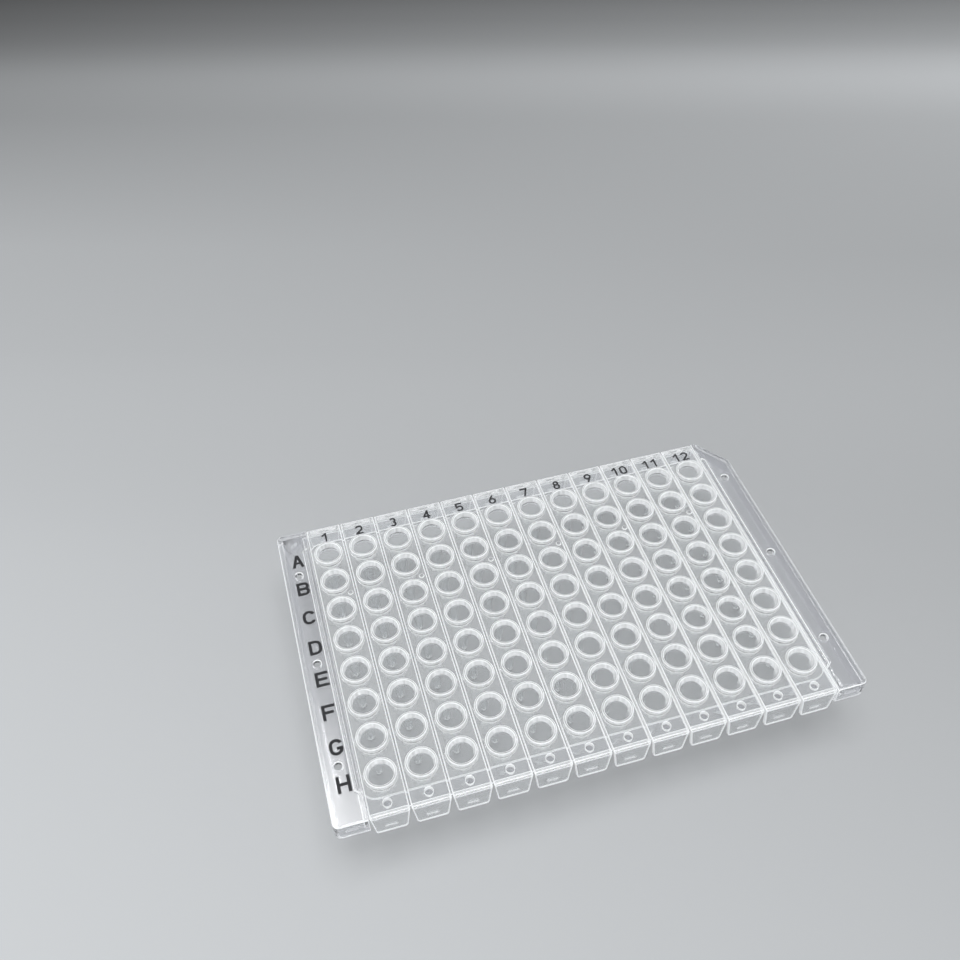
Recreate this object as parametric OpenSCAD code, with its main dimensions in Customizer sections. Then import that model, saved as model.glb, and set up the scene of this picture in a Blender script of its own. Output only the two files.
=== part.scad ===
// A 96-well plate made of twelve snap-in strips of eight conical wells in an open frame.
// Origin: middle of the footprint, z = 0 at the tips of the wells, rows run along Y.

/* [Wells] */
// Distance between neighbouring wells, both ways
pitch = 9; // [8.8:0.1:9.6]
// Height from the well tips to the top of the well rims
plate_h = 15.5; // [14:0.5:20]
// Inner diameter of a well at its rim
mouth_d = 6; // [5.6:0.1:6.4]
// Inner diameter of a well where its lead-in ends
throat_d = 5.4; // [4.8:0.1:5.6]
// Depth of the lead-in below the rim
lead_in_h = 1.5; // [1:0.1:2.5]
// Inner radius of the rounded well bottom
bottom_r = 1; // [0.8:0.05:1.4]
// Wall of a well below the deck
well_wall = 0.55; // [0.4:0.05:0.8]
// Thickness of the well bottom
floor_t = 0.6; // [0.4:0.05:1]
// Depth of the small flat that each tip stands on
tip_flat_h = 0.1; // [0.05:0.01:0.2]
// Wall of the raised rim, measured at its top
rim_wall = 0.6; // [0.4:0.05:0.8]
// Height of the rims above the deck
rim_h = 1; // [0.5:0.1:1.5]

/* [Strips] */
// Thickness of the strips' deck
strip_t = 1.2; // [0.8:0.1:1.6]
// Gap between neighbouring strips
strip_gap = 0.3; // [0.1:0.05:0.5]
// Height of an end tab, from the deck's top to the tab's lower edge
tab_h = 7.2; // [5:0.2:8]
// Width that a tab loses towards its lower edge, on each side
tab_taper = 0.9; // [0.4:0.1:1.4]
// Thickness of an end tab
tab_t = 1.1; // [0.8:0.1:1.4]
// Radius of a tab's lower corners
tab_corner_r = 0.8; // [0.4:0.1:1.2]
// Diameter of the hole in the strip's plain end
strip_hole_d = 1.8; // [1.2:0.1:2.2]
// Distance from the strip's end to the middle of that hole
strip_hole_inset = 2.9; // [2.5:0.1:3.2]
// Diameter of the ejector pips between the wells
pip_d = 1.3; // [0.8:0.1:1.5]
// Height of the ejector pips above the deck
pip_h = 0.25; // [0.1:0.05:0.4]

/* [Frame] */
// Width of the side decks, from the window to the frame's ends
side_deck_w = 7.6; // [6.6:0.1:10]
// Length of the strips' plain ends, beyond the last wells' share of the pitch
strip_end_l = 5; // [4.7:0.1:6]
// Thickness of the frame's decks and ledges
frame_t = 1.2; // [0.8:0.1:1.6]
// Height of the skirt, from the deck's top to its lower edge
skirt_h = 4.8; // [3.6:0.2:7]
// Thickness of the skirt
skirt_t = 1.1; // [0.8:0.1:1.6]
// Radius of the frame's corners
frame_corner_r = 1.5; // [1:0.1:2.5]
// Length of the cut corner along the frame's length
cut_l = 6.2; // [3:0.2:7]
// Length of the cut corner along the frame's width
cut_w = 8.4; // [4:0.2:10]
// Width of the ledge that carries the strips' ends, seen inside the tabs
ledge_w = 3.6; // [2.5:0.1:4]
// Radius of the window's corners
window_r = 3; // [1.5:0.1:4]
// Width of the raised rib beside the outer strips
rib_w = 0.8; // [0.5:0.1:1.2]
// Height of the raised rib above the deck
rib_h = 0.8; // [0.4:0.1:1.2]
// Distance from the window's side to the middle of the rib
rib_inset = 1.4; // [1:0.1:2]
// Diameter of the small holes in the side decks
deck_hole_d = 1.8; // [1.2:0.1:2.4]
// Distance from the frame's end to the middle of those holes
deck_hole_inset = 3.7; // [3:0.1:4.5]

/* [Bars] */
// Length of the short bar inside each tab and each corner of the skirt
bar_l = 2.5; // [1.5:0.1:3.5]
// Height of the bar
bar_h = 0.6; // [0.4:0.1:0.9]
// How far the bar stands out
bar_out = 0.4; // [0.2:0.05:0.6]
// Distance from the lower edge to the middle of the bar
bar_up = 1.9; // [1.5:0.1:2.4]

/* [Print] */
// Height of the row letters
letter_h = 4; // [3:0.1:4.6]
// Stroke of the row letters
letter_stroke = 0.72; // [0.5:0.02:0.8]
// Gap between the rib and the row letters
letter_gap = 0.2; // [0.1:0.1:0.8]
// Height of the column numbers
digit_h = 2.9; // [2.2:0.1:3.2]
// Stroke of the column numbers
digit_stroke = 0.46; // [0.3:0.02:0.55]
// Distance from the strip's end to the middle of the numbers
digit_inset = 3.6; // [3.3:0.1:3.9]
// Thickness of the printed ink
ink_t = 0.05; // [0.03:0.01:0.1]

/* [Hidden] */

rows = 8;
columns = 12;
side_clearance = 0.15;   // between the outer strips and the frame's side decks
tab_clearance = 0.2;     // between a tab's inner face and the ledge's edge
overshoot = 1;           // how far a cutting shape runs past the face that it cuts
join = 0.01;             // how far two strokes of a letter run into each other
hole_rows = 3;           // rows from one hole of a side deck to the next
pip_row = 1.5;           // the ejector pips lie between rows B and C
clear_plastic = [0.84, 0.87, 0.92];
round_fn = 64;
small_fn = 32;

deck_z = plate_h - rim_h;            // top of the strips' and the frame's decks
ledge_z = deck_z - strip_t;          // top of the ledge, which the strips rest on
strip_w = pitch - strip_gap;
window_x = (columns * pitch - strip_gap) / 2 + side_clearance;
frame_l = 2 * (window_x + side_deck_w);
frame_w = rows * pitch + 2 * strip_end_l;
ledge_y = frame_w / 2 - tab_t - tab_clearance;
window_y = ledge_y - ledge_w;
rib_x = window_x + rib_inset;
rib_y = window_y - window_r + rib_w;
letter_w = 0.76 * letter_h;
digit_w = 0.68 * digit_h;
letter_x = -(rib_x + (rib_w + letter_w) / 2 + letter_gap);

function column_x(column) = (column - (columns - 1) / 2) * pitch;
function row_y(row) = ((rows - 1) / 2 - row) * pitch;

// Half angle of the cone that is tangent to a sphere of radius tip_r, which has its centre
// at height centre_z on the axis, and has radius top_r at height top_z.
function cone_angle(tip_r, centre_z, top_r, top_z) =
    acos(tip_r / norm([top_r, top_z - centre_z])) - atan2(top_z - centre_z, top_r);

// ---- wells ----

// Right half of a round-tipped cone's section
module round_cone_section(tip_r, centre_z, top_r, top_z) {
    angle = cone_angle(tip_r, centre_z, top_r, top_z);
    intersection() {
        union() {
            translate([0, centre_z]) circle(r = tip_r, $fn = round_fn);
            polygon([
                [0, centre_z - tip_r * sin(angle)],
                [tip_r * cos(angle), centre_z - tip_r * sin(angle)],
                [top_r, top_z],
                [0, top_z],
            ]);
        }
        square([pitch, plate_h + overshoot]);
    }
}

module well_body() {
    outer_tip_r = bottom_r + well_wall;
    body_top_r = throat_d / 2 + well_wall;
    rotate_extrude($fn = round_fn)
        round_cone_section(outer_tip_r, outer_tip_r - tip_flat_h, body_top_r, ledge_z);
    translate([0, 0, ledge_z])
        cylinder(r = mouth_d / 2 + rim_wall, h = strip_t + rim_h, $fn = round_fn);
}

module well_cavity() {
    throat_z = plate_h - lead_in_h;
    rotate_extrude($fn = round_fn) {
        round_cone_section(bottom_r, floor_t + bottom_r, throat_d / 2, throat_z);
        polygon([
            [0, throat_z],
            [throat_d / 2, throat_z],
            [mouth_d / 2, plate_h],
            [mouth_d / 2, plate_h + overshoot],
            [0, plate_h + overshoot],
        ]);
    }
}

// ---- strips ----

// Outline of an end tab: narrower below, with rounded lower corners
module tab_outline() {
    top = strip_w / 2;
    low = top - tab_taper;
    slope = atan(tab_taper / tab_h);
    corner_x = low + tab_corner_r * (tan(slope) - 1 / cos(slope));
    side_x = corner_x + tab_corner_r * cos(slope);
    side_z = tab_corner_r * (1 - sin(slope));
    polygon([
        [-corner_x, 0], [corner_x, 0], [side_x, side_z], [top, tab_h],
        [-top, tab_h], [-side_x, side_z],
    ]);
    for (side = [-1, 1])
        translate([side * corner_x, tab_corner_r]) circle(r = tab_corner_r, $fn = small_fn);
}

// Short bar that stands inwards from a wall whose inner face lies at y = 0
module bar(low_z) {
    translate([-bar_l / 2, 0, low_z + bar_up - bar_h / 2]) cube([bar_l, bar_out, bar_h]);
}

// End tab at the strip's front end, with its bar on the inner face
module end_tab() {
    translate([0, -frame_w / 2 + tab_t, deck_z - tab_h]) {
        rotate([90, 0, 0]) linear_extrude(tab_t) tab_outline();
        bar(0);
    }
}

module well_strip(column) {
    color(clear_plastic) translate([column_x(column), 0, 0])
        difference() {
            union() {
                translate([-strip_w / 2, -frame_w / 2, ledge_z]) cube([strip_w, frame_w, strip_t]);
                for (row = [0:rows - 1]) translate([0, row_y(row), 0]) well_body();
                end_tab();
                mirror([0, 1, 0]) end_tab();
                if (column % 2 == 0)
                    translate([strip_w / 2 - pip_d, row_y(pip_row), deck_z])
                        cylinder(d = pip_d, h = pip_h, $fn = small_fn);
            }
            for (row = [0:rows - 1]) translate([0, row_y(row), 0]) well_cavity();
            translate([0, -frame_w / 2 + strip_hole_inset, ledge_z - overshoot])
                cylinder(d = strip_hole_d, h = strip_t + 2 * overshoot, $fn = small_fn);
        }
}

// ---- frame ----

// Rectangle with round corners, centred on the origin
module round_rectangle(length, width, radius) {
    square([length - 2 * radius, width], center = true);
    square([length, width - 2 * radius], center = true);
    for (x = [-1, 1], y = [-1, 1])
        translate([x * (length / 2 - radius), y * (width / 2 - radius)])
            circle(r = radius, $fn = small_fn);
}

// Outline of the frame, drawn in by a margin, with the corner at A12 cut off
module frame_outline(margin) {
    smallest_r = 0.3;
    difference() {
        round_rectangle(frame_l - 2 * margin, frame_w - 2 * margin,
                        max(frame_corner_r - margin, smallest_r));
        translate([frame_l / 2 - cut_l, frame_w / 2])
            rotate(-atan2(cut_w, cut_l))
                translate([-cut_w, -margin]) square([3 * cut_w, 2 * cut_w]);
    }
}

// Keeps what lies beyond the outer strips, at both ends of the frame
module beyond_strips() {
    intersection() {
        children();
        for (side = [-1, 1])
            translate([side * frame_l / 2 - (frame_l / 2 - window_x), -frame_w])
                square([2 * (frame_l / 2 - window_x), 2 * frame_w]);
    }
}

// Plate under the strips' ends, around the window
module ledge() {
    translate([0, 0, ledge_z - frame_t]) linear_extrude(frame_t)
        difference() {
            square([2 * (window_x + frame_t), 2 * ledge_y], center = true);
            round_rectangle(2 * window_x, 2 * window_y, window_r);
        }
}

// Step from the ledge up to a side deck
module riser() {
    translate([window_x, -ledge_y, ledge_z - frame_t])
        cube([frame_t, 2 * ledge_y, strip_t + frame_t]);
}

// Raised rib on the right side deck, with its ends bent towards the window
module side_rib() {
    bend = rib_inset - rib_w / 2;
    translate([0, 0, deck_z]) linear_extrude(rib_h) {
        translate([rib_x - rib_w / 2, -rib_y]) square([rib_w, 2 * rib_y]);
        for (end = [-1, 1])
            polygon([
                [rib_x + rib_w / 2, end * rib_y],
                [rib_x + rib_w / 2 - bend, end * (rib_y + bend)],
                [rib_x - rib_w / 2 - bend, end * (rib_y + bend)],
                [rib_x - rib_w / 2, end * rib_y],
            ]);
    }
}

module strip_frame() {
    corner_x = (frame_l / 2 + window_x) / 2;
    skirt_low = deck_z - skirt_h;
    color(clear_plastic)
        difference() {
            union() {
                translate([0, 0, deck_z - frame_t]) linear_extrude(frame_t)
                    beyond_strips() frame_outline(0);
                translate([0, 0, skirt_low]) linear_extrude(skirt_h)
                    beyond_strips() difference() {
                        frame_outline(0);
                        frame_outline(skirt_t);
                    }
                ledge();
                for (side = [0, 1]) mirror([side, 0, 0]) {
                    riser();
                    side_rib();
                }
                for (side = [-1, 1]) translate([side * corner_x, -frame_w / 2 + skirt_t, 0])
                    bar(skirt_low);
                mirror([0, 1, 0]) translate([-corner_x, -frame_w / 2 + skirt_t, 0]) bar(skirt_low);
            }
            for (side = [-1, 1], row = [-1:1])
                translate([side * (frame_l / 2 - deck_hole_inset), row * hole_rows * pitch, skirt_low])
                    cylinder(d = deck_hole_d, h = skirt_h + overshoot, $fn = small_fn);
        }
}

// ---- print ----

// Straight stroke from one point to another
module line(from, to, stroke) {
    run = to - from;
    translate(from) rotate(atan2(run.y, run.x))
        translate([0, -stroke / 2]) square([norm(run), stroke]);
}

// Round stroke about a centre, from one angle to another
module arc(centre, radius, start, end, stroke) {
    reach = 3 * radius;
    steps = ceil((end - start) / 60);
    translate(centre) intersection() {
        difference() {
            circle(r = radius + stroke / 2, $fn = round_fn);
            circle(r = radius - stroke / 2, $fn = round_fn);
        }
        polygon([
            [0, 0],
            for (i = [0:steps]) reach * [
                cos(start + (end - start) * i / steps),
                sin(start + (end - start) * i / steps),
            ],
        ]);
    }
}

// Closed round stroke
module ring(centre, radius, stroke) {
    translate(centre) difference() {
        circle(r = radius + stroke / 2, $fn = round_fn);
        circle(r = radius - stroke / 2, $fn = round_fn);
    }
}

// Row letter, centred on the origin
module letter(name) {
    s = letter_stroke;
    a = (letter_w - s) / 2;  // half the width and half the height, to the strokes' middles
    b = (letter_h - s) / 2;
    half_h = letter_h / 2;
    half_w = letter_w / 2;
    if (name == "A") {
        intersection() {
            for (side = [-1, 1])
                line([side * (a + s / 4), -half_h - s], [-side * s / 4, half_h + s], s);
            square([2 * letter_w, letter_h], center = true);
        }
        line([-a * 0.66, -b * 0.36], [a * 0.66, -b * 0.36], s * 0.85);
    }
    if (name == "B" || name == "D" || name == "E" || name == "F" || name == "H")
        line([-a, -half_h], [-a, half_h], s);
    if (name == "B") {
        for (y = [-b, 0, b]) line([-a, y], [a - b / 2 + join, y], s);
        for (y = [-b / 2, b / 2]) arc([a - b / 2, y], b / 2, -90, 90, s);
    }
    if (name == "C" || name == "G") {
        arc([0, b - a], a, 22, 180, s);
        line([-a, a - b - join], [-a, b - a + join], s);
        arc([0, a - b], a, 180, name == "C" ? 338 : 360, s);
    }
    if (name == "D") {
        for (y = [-b, b]) line([-a, y], [join, y], s);
        arc([0, b - a], a, 0, 90, s);
        arc([0, a - b], a, 270, 360, s);
        line([a, a - b - join], [a, b - a + join], s);
    }
    if (name == "E")
        for (y = [-b, 0, b]) line([-a, y], [half_w - (y == 0 ? s / 3 : 0), y], s);
    if (name == "F") {
        line([-a, b], [half_w, b], s);
        line([-a, 0], [half_w - s / 2, 0], s);
    }
    if (name == "G") {
        line([a, a - b - join], [a, 0], s);
        line([a * 0.1, -s / 2], [half_w, -s / 2], s);
    }
    if (name == "H") {
        line([a, -half_h], [a, half_h], s);
        line([-a, 0], [a, 0], s);
    }
}

// One digit, centred on the origin
module digit(name) {
    s = digit_stroke;
    a = (digit_w - s) / 2;
    b = (digit_h - s) / 2;
    half_h = digit_h / 2;
    half_w = digit_w / 2;
    if (name == 0) {
        arc([0, b - a], a, 0, 180, s);
        arc([0, a - b], a, 180, 360, s);
        for (side = [-1, 1]) line([side * a, a - b - join], [side * a, b - a + join], s);
    }
    if (name == 1) {
        line([a / 3, -half_h], [a / 3, half_h], s);
        line([-a, b * 0.45], [a / 3, b], s);
    }
    if (name == 2) {
        arc([0, b - a], a, -40, 165, s);
        line([-a, -b], [a * cos(40), b - a - a * sin(40)], s);
        line([-half_w, -b], [half_w, -b], s);
    }
    if (name == 3)
        for (side = [-1, 1])
            arc([0, side * b / 2], b / 2, side > 0 ? -90 : -150, side > 0 ? 150 : 90, s);
    if (name == 4) {
        line([-a, -b / 2], [a / 2, half_h - s / 2], s);
        line([-half_w, -b / 2], [half_w, -b / 2], s);
        line([a / 2, -half_h], [a / 2, half_h], s);
    }
    if (name == 5) {
        line([-a, b], [a, b], s);
        line([-a, b + s / 2], [-a, a * 0.45 - b + a * 0.8], s);
        arc([0, a - b], a, -150, 145, s);
    }
    if (name == 6 || name == 9) rotate(name == 9 ? 180 : 0) {
        ring([0, a - b], a, s);
        line([-a * cos(20), a - b + a * sin(20)], [a * 0.45, half_h], s);
    }
    if (name == 7) {
        line([-half_w, b], [half_w, b], s);
        line([-a / 3, -half_h], [a, b], s);
    }
    if (name == 8) {
        lower_r = 0.55 * b;
        ring([0, lower_r - b], lower_r, s);
        ring([0, lower_r], b - lower_r, s);
    }
}

// Number of one or two digits, centred on the origin
module number(value) {
    advance = digit_w + digit_stroke;
    if (value < 10) digit(value);
    else {
        translate([-advance / 2, 0]) digit(floor(value / 10));
        translate([advance / 2, 0]) digit(value % 10);
    }
}

module row_letters() {
    names = "ABCDEFGH";
    color("black")
        for (row = [0:rows - 1])
            translate([letter_x, row_y(row), deck_z])
                linear_extrude(ink_t) letter(names[row]);
}

module column_numbers() {
    color("black")
        for (column = [0:columns - 1])
            translate([column_x(column), frame_w / 2 - digit_inset, deck_z])
                linear_extrude(ink_t) number(column + 1);
}

strip_frame();
well_strip(0);  // well_strip_01
well_strip(1);  // well_strip_02
well_strip(2);  // well_strip_03
well_strip(3);  // well_strip_04
well_strip(4);  // well_strip_05
well_strip(5);  // well_strip_06
well_strip(6);  // well_strip_07
well_strip(7);  // well_strip_08
well_strip(8);  // well_strip_09
well_strip(9);  // well_strip_10
well_strip(10);  // well_strip_11
well_strip(11);  // well_strip_12
row_letters();
column_numbers();
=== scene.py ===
"""Looks of a 96-well plate: twelve clear strips of eight conical wells in an open clear frame."""

import math

import bmesh
import bpy
from mathutils import Matrix, Quaternion, Vector
from mathutils.geometry import delaunay_2d_cdt


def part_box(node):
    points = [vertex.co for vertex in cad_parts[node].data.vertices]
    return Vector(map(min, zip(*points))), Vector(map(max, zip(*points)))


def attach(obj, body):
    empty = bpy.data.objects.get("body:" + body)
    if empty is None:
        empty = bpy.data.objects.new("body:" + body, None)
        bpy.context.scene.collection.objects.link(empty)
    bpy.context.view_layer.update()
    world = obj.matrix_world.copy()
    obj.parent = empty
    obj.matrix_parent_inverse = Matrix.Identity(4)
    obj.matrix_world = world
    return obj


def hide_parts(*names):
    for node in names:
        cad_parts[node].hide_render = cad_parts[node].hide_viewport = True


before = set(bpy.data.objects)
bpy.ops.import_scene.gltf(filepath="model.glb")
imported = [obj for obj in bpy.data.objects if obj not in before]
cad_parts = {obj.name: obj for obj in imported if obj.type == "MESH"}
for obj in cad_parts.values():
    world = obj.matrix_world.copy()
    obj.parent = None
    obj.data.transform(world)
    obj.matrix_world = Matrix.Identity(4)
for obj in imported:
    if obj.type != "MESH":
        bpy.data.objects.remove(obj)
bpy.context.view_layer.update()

MM = 0.001  # the shapes below are drawn in millimetres

# ---- sizes, in millimetres: from the frame's boxes, and then those that no box gives ----

strip_low, strip_high = (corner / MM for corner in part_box("well_strip_01"))
next_low, _ = (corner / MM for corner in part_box("well_strip_02"))
_, frame_high = (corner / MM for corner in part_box("strip_frame"))

ROWS = 8
COLUMNS = 12
PITCH = next_low.x - strip_low.x
STRIP_W = strip_high.x - strip_low.x
HALF_LENGTH = frame_high.x
HALF_WIDTH = strip_high.y
PLATE_H = strip_high.z

# wells
MOUTH_R = 3.0
THROAT_R = 2.7
THROAT_BEND_R = 4.0
LEAD_IN_H = 1.5
BOTTOM_R = 1.0
WELL_WALL = 0.55
FLOOR_T = 0.6
TIP_FLAT_H = 0.1
RIM_WALL = 0.6
RIM_H = 1.0

# strips
STRIP_T = 1.2
TAB_H = 7.2
TAB_TAPER = 0.9
TAB_T = 1.1
TAB_CORNER_R = 0.8
STRIP_HOLE_R = 0.9
STRIP_HOLE_INSET = 2.9
PIP_R = 0.65
PIP_H = 0.25
PIP_ROW = 1.5  # between the second row and the third

# frame
FRAME_T = 1.2
SKIRT_H = 4.8
SKIRT_T = 1.1
CORNER_R = 1.5
CORNER_LEAST_R = 0.4
CUT_L = 6.2
CUT_W = 8.4
CUT_CORNER_R = 0.6
LEDGE_W = 3.6
WINDOW_R = 3.0
RIB_W = 0.8
RIB_H = 0.8
RIB_INSET = 1.4
RIB_TIP_INSET = 0.35
DECK_HOLE_R = 0.9
DECK_HOLE_INSET = 3.7
HOLE_ROWS = 3  # rows of wells from one hole in the deck to the next
SIDE_CLEARANCE = 0.15
TAB_CLEARANCE = 0.2
SEAT_AIR = 0.03  # air that shows between the ledge and the strips that lie on it

# bars inside the tabs and the skirt's corners
BAR_L = 2.5
BAR_H = 0.6
BAR_OUT = 0.4
BAR_UP = 1.9
BAR_SUNK = 0.3
BAR_CORNER_R = 0.2

# moulded edges
EDGE_R = 0.27
RIM_R = 0.22
FILLET_R = 0.25
UNDER_FILLET_R = 0.4
HOLE_EDGE_R = 0.15
END_R = 0.5
END_INNER_R = 0.3
FRAME_EDGE_R = 0.2
PIP_FOOT_R = 0.06
PIP_TOP_R = 0.12
BAR_FOOT_R = 0.12
BAR_TOP_R = 0.15
SHARP = math.radians(35)  # frame edges that turn more than this are rounded
STRAIGHT = math.radians(0.5)  # and those that turn less than this are taken out

# steps in rounded shapes
AROUND = 64  # round a well
SMALL_AROUND = 32  # round a hole or a pip
EDGE_STEPS = 4
SMALL_STEPS = 3
BOTTOM_STEPS = 10
TIP_STEPS = 8
TAB_STEPS = 6
WINDOW_STEPS = 10
SWEEP_STEPS = 24

# places that follow from the sizes
DECK_Z = PLATE_H - RIM_H
LEDGE_Z = DECK_Z - STRIP_T
TAB_LOW = DECK_Z - TAB_H
TAB_SLOPE = math.atan2(TAB_TAPER, TAB_H)
SKIRT_LOW = DECK_Z - SKIRT_H
WINDOW_X = -strip_low.x + SIDE_CLEARANCE
LEDGE_Y = HALF_WIDTH - TAB_T - TAB_CLEARANCE
WINDOW_Y = LEDGE_Y - LEDGE_W

# the frame's cutting tools reach past it
PAST = 1
PAST_Y = HALF_WIDTH + PAST
PAST_Z = 3 * PITCH

# ---- whiteness: 1 is the white of most moulded edges, partly their haze and partly a painted highlight for the light that clear edges gather, and 0 is clear ----

WHITE_RIM = 0.5
WHITE_RIM_SIDE = 0.2
WHITE_RIM_FOOT = 0.5
WHITE_WALL = 0.78  # a well's mouth
CONE_PAINTED_HIGHLIGHT = 0.22  # painted highlight on the near side of a well's outside, once for each of these heights below it
CONE_HIGHLIGHT_HEIGHTS = [11.2, 11.8, 12.4, 12.9]
WHITE_DECK = 0.15
WHITE_FOLD = 0.15
WHITE_BAR = 0.05
END_EDGE_HIGHLIGHT = 1.4  # painted highlight, with some haze, on the edges of the tabs and on the lower edges of the frame's near side
# painted highlight on the lower faces of the skirt's near side
NEAR_SKIRT_HIGHLIGHT = 0.8
WHITE_RIB = 0.12
FAR_EDGE_HIGHLIGHT = 0.3  # less painted highlight on the frame's edges on the far side

# heights between which the near side of a well's round bottom is white and scattering: a painted
# highlight for the bright crescent that light makes there
CRESCENT_HIGHLIGHT_LOW = 0.7
CRESCENT_HIGHLIGHT_HIGH = 1.6

# how much of a face's normal has to be along an axis, for the face to be called so
FLAT = 0.999
BEND_FLAT = 0.95
NEARLY_FLAT = 0.9
TILTED = 0.05
NEAR_SIDE = 0.1  # a face on the near side has less than this towards the far side
SLACK = 0.01  # millimetres that a face's centre can be off its level


def column_x(column):
    return (column - (COLUMNS - 1) / 2) * PITCH


def row_y(row):
    return ((ROWS - 1) / 2 - row) * PITCH


# ---- lines and loops ----


def on_circle(centre, radius, angles):
    return [(centre[0] + radius * math.cos(a), centre[1] + radius * math.sin(a)) for a in angles]


def arc(centre, radius, start, end, steps):
    """Points of an arc from one angle to another, in degrees."""
    angles = [math.radians(start + (end - start) * i / steps) for i in range(steps + 1)]
    return on_circle(centre, radius, angles)


def circle(centre, radius, count=AROUND):
    return on_circle(centre, radius, [2 * math.pi * i / count for i in range(count)])


def corner_arc(before, corner, after, steps):
    """Points that round one corner (x, y, radius) of a line."""
    at = Vector(corner[:2])
    back = (Vector(before[:2]) - at).normalized()
    ahead = (Vector(after[:2]) - at).normalized()
    half = back.angle(ahead) / 2
    centre = at + (back + ahead).normalized() * corner[2] / math.sin(half)
    reach = corner[2] / math.tan(half)
    start = at + back * reach - centre
    end = at + ahead * reach - centre
    from_angle = math.degrees(math.atan2(start.y, start.x))
    turn = math.degrees(math.atan2(start.x * end.y - start.y * end.x, start.dot(end)))
    return arc(centre, corner[2], from_angle, from_angle + turn, steps)


def rounded_line(corners, steps=EDGE_STEPS):
    """An open line through (x, y) ends and (x, y, radius) corners."""
    points = [tuple(corners[0][:2])]
    for before, corner, after in zip(corners, corners[1:], corners[2:]):
        points += corner_arc(before, corner, after, steps)
    return points + [tuple(corners[-1][:2])]


def rounded_loop(corners, steps=EDGE_STEPS):
    """A closed line through (x, y, radius) corners."""
    points = []
    for i, corner in enumerate(corners):
        points += corner_arc(corners[i - 1], corner, corners[(i + 1) % len(corners)], steps)
    return points


def round_rectangle(half_x, half_y, radius, steps=EDGE_STEPS):
    corners = [(half_x, -half_y), (half_x, half_y), (-half_x, half_y), (-half_x, -half_y)]
    return rounded_loop([(x, y, radius) for x, y in corners], steps)


# ---- meshes ----


def in_scene(data, name):
    """A new object in the scene, with this data."""
    made = bpy.data.objects.new(name, data)
    bpy.context.scene.collection.objects.link(made)
    return made


def mesh_of(shape, name):
    """Turns a bmesh into a mesh, and frees it."""
    data = bpy.data.meshes.new(name)
    shape.to_mesh(data)
    shape.free()
    return data


def mesh_object(shape, name):
    """Puts a bmesh drawn in millimetres into the scene, in metres, and frees it."""
    shape.transform(Matrix.Scale(MM, 4))
    data = mesh_of(shape, name)
    data.shade_smooth()
    return in_scene(data, name)


def keep_flats_flat(piece):
    """Weights the shading by face area, so that wide faces stay flat beside rounded edges."""
    modifier = piece.modifiers.new("flats", "WEIGHTED_NORMAL")
    modifier.mode = "FACE_AREA"
    modifier.weight = 80
    modifier.keep_sharp = False


class Skin:
    """Gathers the faces of one closed surface, in millimetres."""

    def __init__(self):
        self.mesh = bmesh.new()

    def bridge(self, loops, closed=True):
        """Quads between neighbouring loops, which have as many points."""
        rows = [[self.mesh.verts.new(p) for p in points] for points in loops]
        count = len(rows[0])
        for low, high in zip(rows, rows[1:]):
            for i in range(count if closed else count - 1):
                j = (i + 1) % count
                self.mesh.faces.new((low[i], low[j], high[j], high[i]))

    def lathe(self, profile, centre, count=AROUND):
        """A surface turned about an upright axis from (radius, z) points."""
        self.bridge([[(x, y, z) for x, y in circle(centre, r, count)] for r, z in profile])

    def flat(self, outline, holes, place):
        """Triangles over a flat convex outline with convex holes. place puts (u, v) into space."""
        loops = [outline, *holes]
        points = [Vector(p) for loop in loops for p in loop]
        owner = [i for i, loop in enumerate(loops) for _ in loop]
        edges = []
        first = 0
        for loop in loops:
            edges += [(first + i, first + (i + 1) % len(loop)) for i in range(len(loop))]
            first += len(loop)
        _, _, faces, origins, _, _ = delaunay_2d_cdt(points, edges, [], 0, 1e-7)
        verts = [self.mesh.verts.new(place(*points[origin[0]])) for origin in origins]
        for face in faces:
            owners = {owner[origins[i][0]] for i in face}
            if len(owners) == 1 and owners != {0}:
                continue
            self.mesh.faces.new([verts[i] for i in face])

    def object(self, name):
        """The finished surface as a mesh object, in metres."""
        bmesh.ops.remove_doubles(self.mesh, verts=self.mesh.verts, dist=1e-4)
        bmesh.ops.recalc_face_normals(self.mesh, faces=self.mesh.faces)
        return mesh_object(self.mesh, name)


# ---- wells, holes and pips, as (radius, z) lines ----


def cone_angle(tip_r, centre_z, top_r, top_z):
    """Half angle of the cone that touches a sphere on its axis and has radius top_r at top_z."""
    rise = top_z - centre_z
    return math.degrees(math.acos(tip_r / math.hypot(top_r, rise)) - math.atan2(rise, top_r))


def well_inside():
    """From the bottom of a well up over its rim to the deck."""
    throat_z = PLATE_H - LEAD_IN_H
    centre = (0, FLOOR_T + BOTTOM_R)
    angle = cone_angle(BOTTOM_R, centre[1], THROAT_R, throat_z)
    bottom = arc(centre, BOTTOM_R, -90, -angle, BOTTOM_STEPS)
    rim_r = MOUTH_R + RIM_WALL
    rim = rounded_line(
        [
            bottom[-1],
            (THROAT_R, throat_z, THROAT_BEND_R),
            (MOUTH_R, PLATE_H, RIM_R),
            (rim_r, PLATE_H, RIM_R),
            (rim_r, DECK_Z, FILLET_R),
            (rim_r + PITCH, DECK_Z),
        ]
    )
    return bottom + rim[1:-1]


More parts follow.
